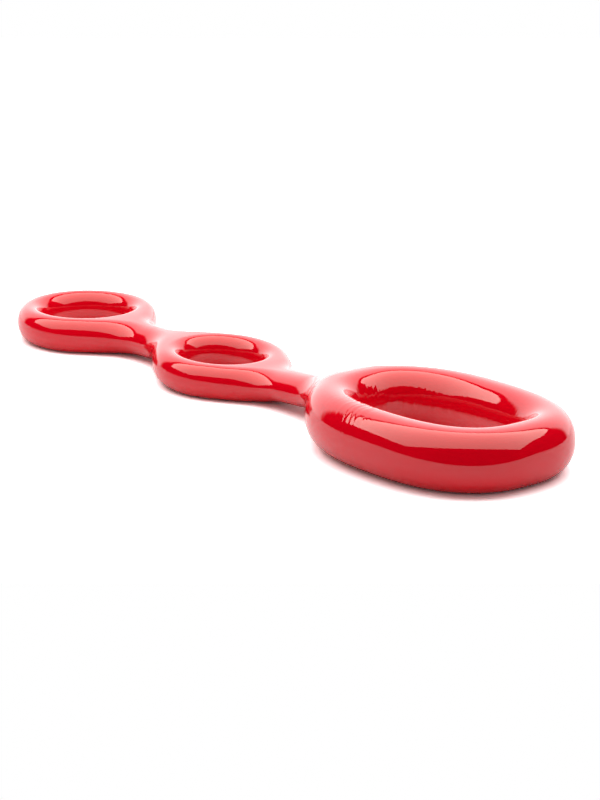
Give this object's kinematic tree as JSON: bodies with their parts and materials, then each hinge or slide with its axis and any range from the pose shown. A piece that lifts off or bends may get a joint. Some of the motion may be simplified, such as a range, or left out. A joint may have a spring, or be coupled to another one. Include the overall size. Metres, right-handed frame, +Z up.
{
  "type": "soft three-ring chain",
  "caption": "Soft glossy chain for pulling and handling: a large oval ring and smaller rings joined end to end by flexible flared necks.",
  "frame": {"origin": "on the surface that the chain lies on, under the middle of its length", "axes": "+X runs along the chain from the end ring to the large ring, +Y across it, +Z up from the surface"},
  "size_m": [0.526, 0.141, 0.0408],
  "materials": {
    "skin": "very glossy soft red skin",
    "foam": "fine closed-cell foam, off-white",
    "cord": "braided cord, natural white"
  },
  "bodies": {
    "large_ring": {"large_ring_skin": "skin", "large_ring_upper_core": "foam", "large_ring_lower_core": "foam", "large_ring_hoop": "cord"},
    "front_neck": {"front_neck_skin": "skin", "front_neck_core": "foam", "front_neck_tether": "cord"},
    "middle_ring": {"middle_ring_skin": "skin", "middle_ring_upper_core": "foam", "middle_ring_lower_core": "foam", "middle_ring_hoop": "cord"},
    "rear_neck": {"rear_neck_skin": "skin", "rear_neck_core": "foam", "rear_neck_tether": "cord"},
    "end_ring": {"end_ring_skin": "skin", "end_ring_upper_core": "foam", "end_ring_lower_core": "foam", "end_ring_hoop": "cord"}
  },
  "joints": [
    {"name": "front_neck_lift", "type": "hinge", "parent": "large_ring", "child": "front_neck", "pos_m": [0.05648, 0, 0.0181], "axis": [0, 1, 0], "range_deg": [-35, 35], "stiffness_Nm_per_rad": 0.15, "deforming": ["front_neck_tether"]},
    {"name": "middle_ring_swing", "type": "hinge", "parent": "front_neck", "child": "middle_ring", "pos_m": [0.02652, 0, 0.01653], "axis": [0, 0, 1], "range_deg": [-30, 30], "stiffness_Nm_per_rad": 0.15, "deforming": ["front_neck_tether"]},
    {"name": "rear_neck_lift", "type": "hinge", "parent": "middle_ring", "child": "rear_neck", "pos_m": [-0.11549, 0, 0.01259], "axis": [0, 1, 0], "range_deg": [-35, 35], "stiffness_Nm_per_rad": 0.12, "deforming": ["rear_neck_tether"]},
    {"name": "end_ring_swing", "type": "hinge", "parent": "rear_neck", "child": "end_ring", "pos_m": [-0.14349, 0, 0.01254], "axis": [0, 0, 1], "range_deg": [-30, 30], "stiffness_Nm_per_rad": 0.12, "deforming": ["rear_neck_tether"]}
  ]
}
